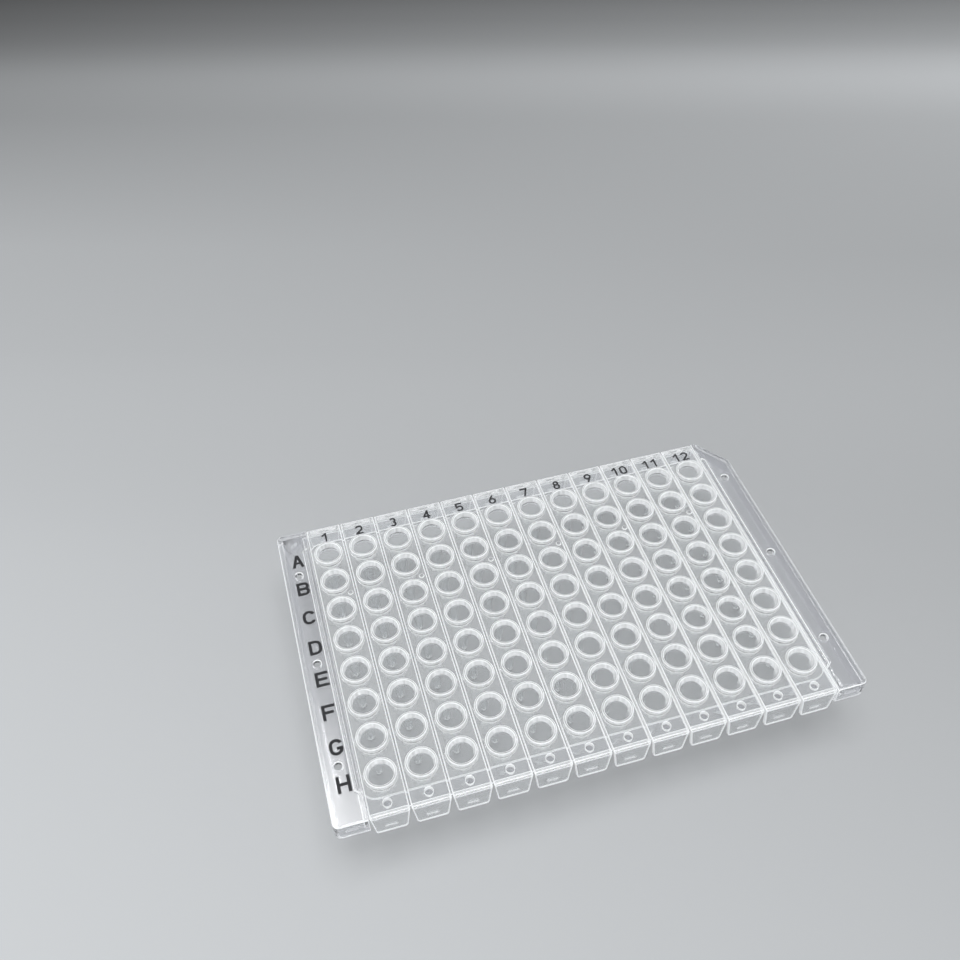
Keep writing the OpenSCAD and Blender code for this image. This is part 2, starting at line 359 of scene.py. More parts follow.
def well_outside():
    """From the flat on a well's tip up to the underside of the deck."""
    tip_r = BOTTOM_R + WELL_WALL
    centre = (0, tip_r - TIP_FLAT_H)
    top_r = THROAT_R + WELL_WALL
    angle = cone_angle(tip_r, centre[1], top_r, LEDGE_Z)
    flat_angle = math.degrees(math.asin(centre[1] / tip_r))
    tip = arc(centre, tip_r, -flat_angle, -angle, TIP_STEPS)
    wall = rounded_line([tip[-1], (top_r, LEDGE_Z, UNDER_FILLET_R), (top_r + PITCH, LEDGE_Z)])
    low, high = Vector(wall[0]), Vector(wall[1])
    # points at the heights where the painted highlight on the cone steps up
    rings = [tuple(low.lerp(high, (z - low.y) / (high.y - low.y))) for z in CONE_HIGHLIGHT_HEIGHTS]
    return [(0, 0)] + tip + rings + wall[1:-1]


def strip_hole():
    """Down through the small hole in a strip's end, from the deck to the underside."""
    line = [
        (2 * STRIP_HOLE_R, DECK_Z),
        (STRIP_HOLE_R, DECK_Z, HOLE_EDGE_R),
        (STRIP_HOLE_R, LEDGE_Z, HOLE_EDGE_R),
        (2 * STRIP_HOLE_R, LEDGE_Z),
    ]
    return rounded_line(line)[1:-1]


def strip_pip():
    """From the deck up over an ejector pip to its middle."""
    top = DECK_Z + PIP_H
    line = [(2 * PIP_R, DECK_Z), (PIP_R, DECK_Z, PIP_FOOT_R), (PIP_R, top, PIP_TOP_R), (0, top)]
    return rounded_line(line, SMALL_STEPS)[1:]


# ---- strips ----


def edge_section(outer, inner, face_normal, outward):
    """Points across a strip's edge, from its outer face to its inner one."""
    turns = [math.radians(90 * i / EDGE_STEPS) for i in range(EDGE_STEPS + 1)]
    outer, inner, up, out = (Vector(v) for v in (outer, inner, face_normal, outward))
    high = outer - (up + out) * EDGE_R
    low = inner + (up - out) * EDGE_R
    return [high + (up * math.cos(a) + out * math.sin(a)) * EDGE_R for a in turns] + [
        low + (out * math.cos(a) - up * math.sin(a)) * EDGE_R for a in turns
    ]


def deck_sections():
    """Sections of the edge along a quarter of the strip's deck, from its middle outwards."""
    half = STRIP_W / 2
    last_outer = HALF_WIDTH - END_R
    last_inner = HALF_WIDTH - TAB_T - END_INNER_R
    step = PITCH / 4
    places = [(i * step, i * step) for i in range(int(last_inner / step) + 1)]
    places.append((last_outer, last_inner))
    return [
        edge_section((half, outer, DECK_Z), (half, inner, LEDGE_Z), (0, 0, 1), (1, 0, 0))
        for outer, inner in places
    ]


def tab_half_width(z):
    """Half the width of a tab, which narrows on its way down, at a height."""
    return STRIP_W / 2 - TAB_TAPER * (DECK_Z - z) / TAB_H


def bend_sections():
    """Sections of the edge where the deck bends down into the tab."""
    sections = []
    for i in range(EDGE_STEPS + 1):
        share = i / EDGE_STEPS
        a = math.radians(90 * share)
        outer_y = HALF_WIDTH - END_R + END_R * math.sin(a)
        outer_z = DECK_Z - END_R + END_R * math.cos(a)
        outer_x = STRIP_W / 2 + share * (tab_half_width(outer_z) - STRIP_W / 2)
        inner_y = HALF_WIDTH - TAB_T - END_INNER_R + END_INNER_R * math.sin(a)
        inner_z = LEDGE_Z - END_INNER_R + END_INNER_R * math.cos(a)
        inner_x = STRIP_W / 2 + share * (tab_half_width(inner_z) - STRIP_W / 2)
        lean = TAB_SLOPE * share
        sections.append(
            edge_section(
                (outer_x, outer_y, outer_z),
                (inner_x, inner_y, inner_z),
                (0, math.sin(a), math.cos(a)),
                (math.cos(lean), 0, -math.sin(lean)),
            )
        )
    return sections


def tab_sections():
    """Sections of the edge from the bend down the tab's side to the middle of its lower edge."""
    slope = math.degrees(TAB_SLOPE)
    low_x = STRIP_W / 2 - TAB_TAPER
    corner_x = low_x + TAB_CORNER_R * (math.tan(TAB_SLOPE) - 1 / math.cos(TAB_SLOPE))
    corner = arc((corner_x, TAB_LOW + TAB_CORNER_R), TAB_CORNER_R, -slope, -90, TAB_STEPS)
    facings = [-slope - (90 - slope) * i / TAB_STEPS for i in range(TAB_STEPS + 1)]
    sections = []
    for (x, z), facing in [*zip(corner, facings), ((0, TAB_LOW), -90)]:
        a = math.radians(facing)
        outer, inner = (x, HALF_WIDTH, z), (x, HALF_WIDTH - TAB_T, z)
        sections.append(edge_section(outer, inner, (0, 1, 0), (math.cos(a), 0, math.sin(a))))
    return sections


def mirrored(points, side_x, side_y):
    """The points, mirrored left to right where side_x is -1, front to back where side_y is."""
    return [Vector((p[0] * side_x, p[1] * side_y, p[2])) for p in points]


def round_trip(quarter):
    """A closed outline from the points of the quarter with x and y above 0."""
    outline = []
    for side in (1, -1):
        outline += mirrored(quarter, side, side)
        outline += mirrored(quarter, -side, side)[:0:-1]
    return outline


def add_bar(skin, centre, place):
    """A low rounded bar. place puts (u, v, height) into space. Gives the outline of its foot."""
    line = [(1, 0), (0, 0, BAR_FOOT_R), (0, BAR_OUT, BAR_TOP_R), (-1, BAR_OUT)]
    rise = rounded_line(line, SMALL_STEPS)[1:-1]
    top = rise[-1][1]
    loops = []
    for margin, height in rise:
        half_l = BAR_L / 2 + margin
        half_h = BAR_H / 2 + margin
        outline = round_rectangle(half_l, half_h, BAR_CORNER_R + margin, SMALL_STEPS)
        loops.append([(centre[0] + u, centre[1] + v, height) for u, v in outline])
    skin.bridge([[place(*p) for p in loop] for loop in loops])
    skin.flat([p[:2] for p in loops[-1]], [], lambda u, v: place(u, v, top))
    return [p[:2] for p in loops[0]]


def add_tab(skin, bend, tab, side):
    """The two faces of an end tab, with its bar, and the bent faces above it."""
    for face, depth in ((0, HALF_WIDTH), (-1, HALF_WIDTH - TAB_T)):
        right, left = (mirrored([s[face] for s in bend], x, side) for x in (1, -1))
        skin.bridge(list(zip(right, left)), closed=False)
        half = [(section[face].x, section[face].z) for section in [bend[-1], *tab]]
        outline = half + [(-x, z) for x, z in half[:-1]][::-1]
        holes = []
        if face == -1:
            bar = add_bar(
                skin,
                (0, TAB_LOW + BAR_UP),
                lambda u, v, height: (u, side * (HALF_WIDTH - TAB_T - height), v),
            )
            holes = [bar]
        skin.flat(outline, holes, lambda u, v, y=side * depth: (u, y, v))


def strip_skin(with_pip):
    """The closed surface of one strip about its own middle."""
    skin = Skin()
    inside, outside, hole, pip = well_inside(), well_outside(), strip_hole(), strip_pip()
    for row in range(ROWS):
        skin.lathe(inside, (0, row_y(row)))
        skin.lathe(outside, (0, row_y(row)))
    hole_at = (0, -HALF_WIDTH + STRIP_HOLE_INSET)
    skin.lathe(hole, hole_at, SMALL_AROUND)

    deck, bend, tab = deck_sections(), bend_sections(), tab_sections()
    whole = deck + bend[1:] + tab
    for side_x in (1, -1):
        for side_y in (1, -1):
            skin.bridge([mirrored(section, side_x, side_y) for section in whole], closed=False)
    for side in (1, -1):
        add_tab(skin, bend, tab, side)

    top_holes = [circle((0, row_y(row)), inside[-1][0]) for row in range(ROWS)]
    top_holes.append(circle(hole_at, hole[0][0], SMALL_AROUND))
    if with_pip:
        pip_at = (STRIP_W / 2 - 2 * PIP_R, row_y(PIP_ROW))
        skin.lathe(pip, pip_at, SMALL_AROUND)
        top_holes.append(circle(pip_at, pip[0][0], SMALL_AROUND))
    low_holes = [circle((0, row_y(row)), outside[-1][0]) for row in range(ROWS)]
    low_holes.append(circle(hole_at, hole[-1][0], SMALL_AROUND))
    for face, level, holes in ((0, DECK_Z, top_holes), (-1, LEDGE_Z, low_holes)):
        outline = [p[:2] for p in round_trip([section[face] for section in deck])]
        skin.flat(outline, holes, lambda u, v, z=level: (u, v, z))
    return skin


def strip_object(name, with_pip):
    """One strip about its own middle, its white faces, partly painted highlight, and the faces of
    its painted crescent highlight marked.
    """
    made = strip_skin(with_pip).object(name)
    haze_and_highlight = made.data.attributes.new("haze_and_highlight", "FLOAT", "FACE")
    for face in made.data.polygons:
        haze_and_highlight.data[face.index].value = strip_haze_and_highlight(face.center / MM, face.normal)
        face.material_index = is_crescent_highlight(face.center / MM, face.normal)
    return made


def is_crescent_highlight(at, normal):
    """Whether a face is inside a well, low on its near side, where a painted crescent highlight
    goes.
    """
    return CRESCENT_HIGHLIGHT_LOW < at.z < CRESCENT_HIGHLIGHT_HIGH and abs(at.y) < LEDGE_Y and min(normal.y, normal.z) > 0


def strip_haze_and_highlight(at, normal):
    """How white a face of a strip is: haze and a painted highlight where its edges and rims gather
    the light.
    """
    row = min(range(ROWS), key=lambda row: abs(at.y - row_y(row)))
    out = math.hypot(at.x, at.y - row_y(row))
    if out < MOUTH_R + RIM_WALL + FILLET_R and abs(at.y) < LEDGE_Y - FILLET_R:
        return well_haze_and_highlight(out, at.z, normal)
    if abs(at.y) > LEDGE_Y - END_R:
        return tab_haze_and_highlight(at, normal)
    if normal.z > FLAT:
        return WHITE_DECK
    return float(abs(normal.z) < FLAT)


def well_haze_and_highlight(out, z, normal):
    """How white a face of a well is, at a distance from the well's axis: haze and a painted
    highlight.
    """
    if z > DECK_Z + SLACK:
        if out < MOUTH_R - RIM_R / 2:
            return WHITE_WALL
        if normal.z > FLAT:
            return WHITE_RIM
        if z < DECK_Z + FILLET_R:
            return WHITE_RIM_FOOT
        return 1.0 if normal.z > TILTED else WHITE_RIM_SIDE
    if z > PLATE_H - LEAD_IN_H and out < MOUTH_R:
        return WHITE_WALL
    # a painted highlight on the near side of a well's outside, stepping up at each height
    if out > THROAT_R and z < LEDGE_Z - SLACK and normal.y < NEAR_SIDE:
        return CONE_PAINTED_HIGHLIGHT * sum(z > height for height in CONE_HIGHLIGHT_HEIGHTS)
    return 0.0


def tab_haze_and_highlight(at, normal):
    """How white a face of a strip's bent end is: haze and a painted highlight on its edges."""
    if at.z < TAB_LOW + TAB_CORNER_R:
        return END_EDGE_HIGHLIGHT * (abs(normal.y) < FLAT)
    if abs(at.y) < HALF_WIDTH - TAB_T - SLACK and at.z < TAB_LOW + BAR_UP + BAR_L:
        return END_EDGE_HIGHLIGHT if abs(normal.y) > NEARLY_FLAT else WHITE_BAR
    if abs(normal.x) > TILTED:
        return END_EDGE_HIGHLIGHT
    steepest = max(abs(normal.y), abs(normal.z))
    if steepest > FLAT:
        return WHITE_DECK if normal.z > FLAT else 0.0
    return WHITE_FOLD if steepest < BEND_FLAT else 1.0


# ---- frame ----


def prism(outline, low_z, high_z):
    """An upright solid over an outline, as a mesh object in millimetres."""
    shape = bmesh.new()
    face = shape.faces.new([shape.verts.new((x, y, low_z)) for x, y in outline])
    raised = bmesh.ops.extrude_face_region(shape, geom=[face])["geom"]
    for part in raised:
        if isinstance(part, bmesh.types.BMVert):
            part.co.z = high_z
    bmesh.ops.recalc_face_normals(shape, faces=shape.faces)
    return in_scene(mesh_of(shape, "tool"), "tool")


def block(low_x, high_x, low_y, high_y, low_z, high_z):
    outline = [(low_x, low_y), (high_x, low_y), (high_x, high_y), (low_x, high_y)]
    return prism(outline, low_z, high_z)


def combine(base, tool, operation):
    """Adds a tool to the base or cuts it away, and deletes the tool."""
    modifier = base.modifiers.new("combine", "BOOLEAN")
    modifier.operation = operation
    modifier.solver = "EXACT"
    modifier.object = tool
    evaluated = base.evaluated_get(bpy.context.evaluated_depsgraph_get())
    data = bpy.data.meshes.new_from_object(evaluated)
    base.modifiers.clear()
    base.data = data
    bpy.data.objects.remove(tool)


def frame_outline(margin):
    """The frame's outline drawn in by a margin, with the corner at A12 cut off."""
    x, y = HALF_LENGTH - margin, HALF_WIDTH - margin
    slant = math.hypot(CUT_L, CUT_W)
    reach = CUT_L * CUT_W / slant + margin
    normal = Vector((CUT_W, CUT_L)) / slant
    corner = Vector((HALF_LENGTH, HALF_WIDTH))
    level = normal.dot(corner) - reach
    top_x = (level - normal.y * y) / normal.x
    side_y = (level - normal.x * x) / normal.y
    radius = max(CORNER_R - margin, CORNER_LEAST_R)
    return rounded_loop(
        [
            (x, -y, radius),
            (x, side_y, CUT_CORNER_R),
            (top_x, y, CUT_CORNER_R),
            (-x, y, radius),
            (-x, -y, radius),
        ]
    )


def rib_outline(side):
    """A rib beside the outer strip, its ends bent towards the window."""
    outer = WINDOW_X + RIB_INSET + RIB_W / 2
    inner = outer - RIB_W
    tip = WINDOW_X + RIB_TIP_INSET
    bend = RIB_INSET - RIB_W / 2
    end = WINDOW_Y - WINDOW_R + RIB_W
    slant = [(outer, end), (outer - bend, end + bend)]
    half = slant + [(tip, end + bend), (tip, end + inner - tip), (inner, end)]
    points = [(x, -y) for x, y in half[::-1]] + half
    return [(side * x, y) for x, y in points]


def bar_prism(centre_x, side):
    """A bar on the inner face of the skirt, on the side of the frame towards +Y or -Y."""
    low = SKIRT_LOW + BAR_UP - BAR_H / 2
    wall_y = HALF_WIDTH - SKIRT_T
    near, far = sorted((side * (wall_y + BAR_SUNK), side * (wall_y - BAR_OUT)))
    return block(centre_x - BAR_L / 2, centre_x + BAR_L / 2, near, far, low, low + BAR_H)


def sharp_frame():
    """The frame before its edges are rounded, as a mesh object in millimetres."""
    body = prism(frame_outline(0), SKIRT_LOW, DECK_Z)
    hollow = prism(frame_outline(SKIRT_T), SKIRT_LOW - PAST, DECK_Z - FRAME_T)
    riser_x = WINDOW_X + FRAME_T
    riser = block(-riser_x, riser_x, -PAST_Y, PAST_Y, LEDGE_Z - FRAME_T, PAST_Z)
    combine(hollow, riser, "DIFFERENCE")
    combine(body, hollow, "DIFFERENCE")
    seat = block(-WINDOW_X, WINDOW_X, -PAST_Y, PAST_Y, LEDGE_Z - SEAT_AIR, PAST_Z)
    combine(body, seat, "DIFFERENCE")
    window = prism(round_rectangle(WINDOW_X, WINDOW_Y, WINDOW_R, WINDOW_STEPS), 0, PAST_Z)
    combine(body, window, "DIFFERENCE")
    for side in (1, -1):
        low, high = sorted((side * LEDGE_Y, side * PAST_Y))
        combine(body, block(-WINDOW_X, WINDOW_X, low, high, 0, PAST_Z), "DIFFERENCE")
    for side in (1, -1):
        combine(body, prism(rib_outline(side), DECK_Z - FRAME_T / 2, DECK_Z + RIB_H), "UNION")
        for row in (-1, 0, 1):
            at = (side * (HALF_LENGTH - DECK_HOLE_INSET), row * HOLE_ROWS * PITCH)
            hole = prism(circle(at, DECK_HOLE_R, SMALL_AROUND), 0, PAST_Z)
            combine(body, hole, "DIFFERENCE")
    corner_x = (HALF_LENGTH + WINDOW_X) / 2
    for x, side in ((corner_x, -1), (-corner_x, -1), (-corner_x, 1)):
        combine(body, bar_prism(x, side), "UNION")
    return body


def is_sharp(edge):
    """Whether a frame edge is one to round: all sharp ones are, but those at a rib's foot."""
    is_rib_foot = not edge.is_convex and max(v.co.z for v in edge.verts) > LEDGE_Z
    return edge.calc_face_angle(0) > SHARP and not is_rib_foot


def split_skirt_end(shape):
    """Parts the near side of the skirt's lower faces from the rest, and gives them all."""
    low = [
        face
        for face in shape.faces
        if face.normal.z < -FLAT and face.calc_center_median().z < SKIRT_LOW + SLACK
    ]
    geom = set(low) | {e for f in low for e in f.edges} | {v for f in low for v in f.verts}
    cut = bmesh.ops.bisect_plane(
        shape, geom=list(geom), plane_co=(0, SKIRT_T - HALF_WIDTH, 0), plane_no=(0, 1, 0)
    )
    return {part for part in cut["geom"] if isinstance(part, bmesh.types.BMFace)}


def frame_edge_highlight(face):
    """How white a rounded edge of the frame is: a painted highlight, full on the near side and
    round the window, less on the far side.
    """
    at = face.calc_center_median()
    near = face.normal.x + face.normal.y < NEAR_SIDE
    if near and at.z < DECK_Z - FRAME_T:
        return END_EDGE_HIGHLIGHT
    return 1.0 if near or abs(at.x) < WINDOW_X - FRAME_EDGE_R else FAR_EDGE_HIGHLIGHT


def frame_object(name):
    """The frame with its edges rounded, and its white faces, partly painted highlight, and satin
    faces marked.
    """
    body = sharp_frame()
    shape = bmesh.new()
    shape.from_mesh(body.data)
    bpy.data.objects.remove(body)
    bmesh.ops.remove_doubles(shape, verts=shape.verts, dist=1e-3)
    bmesh.ops.dissolve_limit(
        shape, angle_limit=STRAIGHT, verts=shape.verts, edges=shape.edges
    )
    haze_and_highlight = shape.faces.layers.float.new("haze_and_highlight")
    satin = shape.faces.layers.float.new("satin")
    edges = bmesh.ops.bevel(
        shape,
        geom=[edge for edge in shape.edges if is_sharp(edge)],
        offset=FRAME_EDGE_R,
        offset_type="OFFSET",
        segments=SMALL_STEPS,
        profile=0.5,
        affect="EDGES",
        clamp_overlap=False,
    )["faces"]
    skirt_end = split_skirt_end(shape)
    for face in shape.faces:
        at = face.calc_center_median()
        face[satin] = float(face.normal.z > NEARLY_FLAT and at.z > DECK_Z - FRAME_EDGE_R)
        face[haze_and_highlight] = WHITE_RIB * (at.z > DECK_Z + EDGE_R)
        # a painted highlight on the lower faces of the skirt's near side
        if face in skirt_end and at.y < SKIRT_T - HALF_WIDTH:
            face[haze_and_highlight] = NEAR_SKIRT_HIGHLIGHT
    for face in edges:
        face[haze_and_highlight] = frame_edge_highlight(face)
    bmesh.ops.dissolve_degenerate(shape, dist=1e-4, edges=shape.edges)
    return mesh_object(shape, name)


# ---- materials ----

HAZE = 0.04  # share of the light that clear faces scatter
EDGE_HAZE_AND_HIGHLIGHT = 0.92  # and that white faces do, where whiteness is 1, which is partly painted highlight
EDGE_ROUGHNESS = 0.29
SATIN_ROUGHNESS = 0.25

# shares of the lamps' light that clear and white faces let through, and of scattered light
CLEAR_PASSED = 0.88
EDGE_PASSED = 0.6
STUDIO_PASSED = 0.97

# noise, in patches to a metre
WAVES = 160.0
GLOSS_PATCHES = 900.0
STREAKS = 1400.0
MOTTLE = 2500.0
STREAK_STRETCH = (1, 1, 0.15)  # streaks run along Z
MOST_NOISE = (0.3, 0.7)  # most of the noise is between these

# heights, in metres, and how much of the shading they take part in
WAVE_BUMP = (0.00002, 0.12)
INK_BUMP = (0.00001, 0.4)

POLYSTYRENE_IOR = 1.59

STRIP_TINT = (0.94, 0.95, 0.955, 1)
FRAME_TINT = (0.87, 0.875, 0.90, 1)
EDGE_TINT = (0.955, 0.965, 0.975, 1)
# whites of the painted crescent highlight, mottled
CRESCENT_HIGHLIGHT_TINTS = ((0.93, 0.94, 0.945, 1), (0.98, 0.985, 0.99, 1))
INK_TINTS = ((0.012, 0.012, 0.013, 1), (0.05, 0.05, 0.055, 1))


class Nodes:
    """Short calls for building the nodes of a material or a world."""

    def __init__(self, owner):
        owner.use_nodes = True
        self.owner = owner
        self.tree = owner.node_tree
        self.tree.nodes.clear()

    def add(self, kind, **settings):
        node = self.tree.nodes.new("ShaderNode" + kind)
        for key, value in settings.items():
            setattr(node, key, value)
        return node

    def link(self, source, target):
        self.tree.links.new(source, target)

    def noise(self, vector, scale, detail=2.0):
        node = self.add("TexNoise")
        node.inputs["Scale"].default_value = scale
        node.inputs["Detail"].default_value = detail
        self.link(vector, node.inputs["Vector"])
        return node.outputs["Fac"]

    def ramp(self, source, low, high, out_low, out_high, **settings):
        """Carries a range of values over to another range."""
        node = self.add("MapRange", clamp=True, **settings)
        self.link(source, node.inputs["Value"])
        node.inputs["From Min"].default_value = low
        node.inputs["From Max"].default_value = high
        node.inputs["To Min"].default_value = out_low
        node.inputs["To Max"].default_value = out_high
        return node.outputs["Result"]

    def tint(self, source, first, last):
        """A colour from the first to the last as the source goes from 0 to 1."""
        node = self.add("ValToRGB")
        node.color_ramp.elements[0].color = first
        node.color_ramp.elements[1].color = last
        self.link(source, node.inputs["Fac"])
        return node.outputs["Color"]

    def math(self, operation, first, second):
        node = self.add("Math", operation=operation)
        for socket, value in zip(node.inputs, (first, second)):
            if isinstance(value, float):
                socket.default_value = value
            else:
                self.link(value, socket)
        return node.outputs["Value"]

    def bump(self, height, distance, strength):
        node = self.add("Bump")
        node.inputs["Distance"].default_value = distance
        node.inputs["Strength"].default_value = strength
        self.link(height, node.inputs["Height"])
        return node.outputs["Normal"]

    def show(self, surface):
        self.link(surface, self.add("OutputMaterial").inputs["Surface"])


def let_light_through(n, surface, passed):
    """Lets scattered light and a share of the lamps' light, a number or a socket, through."""
    rays = n.add("LightPath")
    for kind, share in (("Is Diffuse Ray", STUDIO_PASSED), ("Is Shadow Ray", passed)):
        through = n.add("BsdfTransparent")
        if isinstance(share, float):
            through.inputs["Color"].default_value = (share, share, share, 1)
        else:
            n.link(share, through.inputs["Color"])
        mix = n.add("MixShader")
        n.link(rays.outputs[kind], mix.inputs["Fac"])
        n.link(surface, mix.inputs[1])
        n.link(through.outputs["BSDF"], mix.inputs[2])
        surface = mix.outputs["Shader"]
    n.show(surface)


def crescent_highlight_plastic(name):
    """White scattering polystyrene, a painted highlight for the bright crescent at a well's
    bottom.
    """
    n = Nodes(bpy.data.materials.new(name))
    mottle = n.noise(n.add("TexCoord").outputs["Object"], MOTTLE)
    shader = n.add("BsdfPrincipled")
    shader.inputs["Specular IOR Level"].default_value = 0.0
    n.link(n.tint(mottle, *CRESCENT_HIGHLIGHT_TINTS), shader.inputs["Base Color"])
    n.link(n.ramp(mottle, *MOST_NOISE, 0.4, 0.6), shader.inputs["Roughness"])
    let_light_through(n, shader.outputs["BSDF"], EDGE_PASSED)
    return n.owner


def clear_plastic(name, body_tint):
    """Clear moulded polystyrene, a little hazy and wavy, with white edges that are partly a
    painted highlight, and a satin deck.
    """
    n = Nodes(bpy.data.materials.new(name))
    place = n.add("TexCoord").outputs["Object"]
    haze_and_highlight = n.add("Attribute", attribute_name="haze_and_highlight").outputs["Fac"]
    satin = n.add("Attribute", attribute_name="satin").outputs["Fac"]
    shader = n.add("BsdfPrincipled")
    shader.inputs["IOR"].default_value = POLYSTYRENE_IOR
    n.link(n.tint(haze_and_highlight, body_tint, EDGE_TINT), shader.inputs["Base Color"])
    n.link(n.bump(n.noise(place, WAVES, 1.0), *WAVE_BUMP), shader.inputs["Normal"])

    stretched = n.add("VectorMath", operation="MULTIPLY")
    n.link(place, stretched.inputs[0])
    stretched.inputs[1].default_value = STREAK_STRETCH
    streaks = n.ramp(n.noise(stretched.outputs["Vector"], STREAKS), *MOST_NOISE, 0.7, 1.15)
    whiteness = n.math("MULTIPLY", haze_and_highlight, streaks)
    n.link(n.ramp(whiteness, 0, 1, 1 - HAZE, 1 - EDGE_HAZE_AND_HIGHLIGHT), shader.inputs["Transmission Weight"])

    gloss = n.ramp(n.noise(place, GLOSS_PATCHES, 3.0), 0.35, 0.75, 0.0, 0.03)
    edge = n.math("MULTIPLY", haze_and_highlight, EDGE_ROUGHNESS)
    deck = n.math("MULTIPLY", satin, SATIN_ROUGHNESS)
    rough = n.math("MAXIMUM", gloss, n.math("MAXIMUM", edge, deck))
    n.link(rough, shader.inputs["Roughness"])
    passed = n.ramp(haze_and_highlight, 0, 1, CLEAR_PASSED, EDGE_PASSED)
    let_light_through(n, shader.outputs["BSDF"], passed)
    return n.owner


def black_ink(name):
    """Matte printed ink, a little uneven."""
    n = Nodes(bpy.data.materials.new(name))
    mottle = n.noise(n.add("TexCoord").outputs["Object"], MOTTLE, 4.0)
    shader = n.add("BsdfPrincipled")
    n.link(n.tint(mottle, *INK_TINTS), shader.inputs["Base Color"])
    n.link(n.ramp(mottle, *MOST_NOISE, 0.35, 0.6), shader.inputs["Roughness"])
    n.link(n.bump(mottle, *INK_BUMP), shader.inputs["Normal"])
    n.show(shader.outputs["BSDF"])
    return n.owner


def wear(piece, *materials):
    """Adds materials after those that a piece has."""
    for material in materials:
        piece.data.materials.append(material)


# ---- pieces ----

plastic = clear_plastic("strip_polystyrene", STRIP_TINT)
crescent_highlight = crescent_highlight_plastic("crescent_highlight_polystyrene")
frame_plastic = clear_plastic("frame_polystyrene", FRAME_TINT)
ink = black_ink("black_ink")

strips = []
for first_column in (0, 1):  # strips 1, 3, 5 and so on have a pip, and the others have none
    model = strip_object("strip_model", with_pip=first_column == 0)
    for column in range(first_column, COLUMNS, 2):
        strip = in_scene(model.data.copy(), f"strip_{column + 1:02d}")
        strip.data.transform(Matrix.Translation((column_x(column) * MM, 0, 0)))
        strips.append(strip)
        wear(strip, plastic, crescent_highlight)
        keep_flats_flat(strip)
        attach(strip, "root")
        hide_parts(f"well_strip_{column + 1:02d}")
    bpy.data.objects.remove(model)

holder = frame_object("frame_moulding")
wear(holder, frame_plastic)
keep_flats_flat(holder)
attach(holder, "root")
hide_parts("strip_frame")

for node in ("row_letters", "column_numbers"):
    for print_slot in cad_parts[node].material_slots:
        print_slot.material = ink

# ---- stage ----

FLOOR_NEAR = -1200
FLOOR_FAR = 900
SWEEP_R = 250
BACKDROP_H = 700
STAGE_HALF_W = 2000

# the paper's grey with painted light and shade: how bright it is at each distance, in metres,
# along a line so many degrees from +Y
PAPER_TURN = 18.6
PAPER_GREY_AND_PAINTED_LIGHT = [
    (-0.10, 0.575),
    (0.03, 0.48),
    (0.11, 0.437),
    (0.26, 0.355),
    (0.31, 0.38),
    (0.34, 0.27),
    (0.37, 0.185),
    (0.46, 0.145),
    (0.60, 0.85),
]
# painted side light: how much brighter the paper gets per metre to the right: two distances, and
# the change at each
PAPER_PAINTED_SIDE_LIGHT = [(0.02, 0.11, -0.95, -0.4), (0.17, 0.33, 0.0, 2.0)]
PAPER_TINT = (0.965, 0.995, 1.02)

BRIGHT = 1.3  # strength of the studio's light, and of its dim patch
DIM = 0.3
DIM_WAY = Vector((0.2, 0.52, 0.83)).normalized()
DIM_INNER = 20  # half angles, in degrees, between which the dim patch fades out
DIM_OUTER = 38
STUDIO_TINT = (0.975, 0.99, 1.0, 1)
SUN_SHARE = 2.3  # of what the studio gives a level floor
SUN_ANGLE = 50  # degrees of the sky that the sun takes up
STUDIO_SHARE = 0.8  # of a wholly bright studio's light, for its dim patch takes some


def paper_painted_light(n, along):
    """The paper's colour, with its painted light and shade, at each distance along the line."""
    first, last = PAPER_GREY_AND_PAINTED_LIGHT[0][0], PAPER_GREY_AND_PAINTED_LIGHT[-1][0]
    colour = n.add("ValToRGB")
    stops = colour.color_ramp.elements
    colour.color_ramp.interpolation = "CARDINAL"
    while len(stops) < len(PAPER_GREY_AND_PAINTED_LIGHT):
        stops.new(0.5)
    for stop, (distance, tone) in zip(stops, PAPER_GREY_AND_PAINTED_LIGHT):
        stop.position = (distance - first) / (last - first)
        stop.color = [part * tone / (1 + SUN_SHARE) for part in PAPER_TINT] + [1]
    n.link(n.ramp(along, first, last, 0.0, 1.0), colour.inputs["Fac"])
    return colour.outputs["Color"]


def paper(name):
    """Matte grey backdrop paper, with painted light and shade that change with distance and from
    side to side.
    """
    n = Nodes(bpy.data.materials.new(name))
    turned = n.add("VectorRotate", rotation_type="Z_AXIS")
    turned.inputs["Angle"].default_value = math.radians(PAPER_TURN)
    n.link(n.add("TexCoord").outputs["Object"], turned.inputs["Vector"])
    split = n.add("SeparateXYZ")
    n.link(turned.outputs["Vector"], split.inputs["Vector"])
    across, along = split.outputs["X"], split.outputs["Y"]
    slope = n.math("ADD", *[n.ramp(along, *numbers) for numbers in PAPER_PAINTED_SIDE_LIGHT])
    shaded = n.add("VectorMath", operation="SCALE")
    n.link(paper_painted_light(n, along), shaded.inputs["Vector"])
    n.link(n.math("ADD", n.math("MULTIPLY", slope, across), 1.0), shaded.inputs["Scale"])
    shader = n.add("BsdfPrincipled")
    shader.inputs["Roughness"].default_value = 0.85
    shader.inputs["Specular IOR Level"].default_value = 0.15
    n.link(shaded.outputs["Vector"], shader.inputs["Base Color"])
    n.show(shader.outputs["BSDF"])
    return n.owner


def sweep_object(name):
    """Floor that sweeps up into a backdrop."""
    corners = [(FLOOR_NEAR, 0), (FLOOR_FAR, 0, SWEEP_R), (FLOOR_FAR, BACKDROP_H)]
    line = rounded_line(corners, SWEEP_STEPS)
    shape = bmesh.new()
    rows = [[shape.verts.new((x, y, z)) for x in (-STAGE_HALF_W, STAGE_HALF_W)] for y, z in line]
    for low, high in zip(rows, rows[1:]):
        shape.faces.new((low[0], low[1], high[1], high[0]))
    return mesh_object(shape, name)


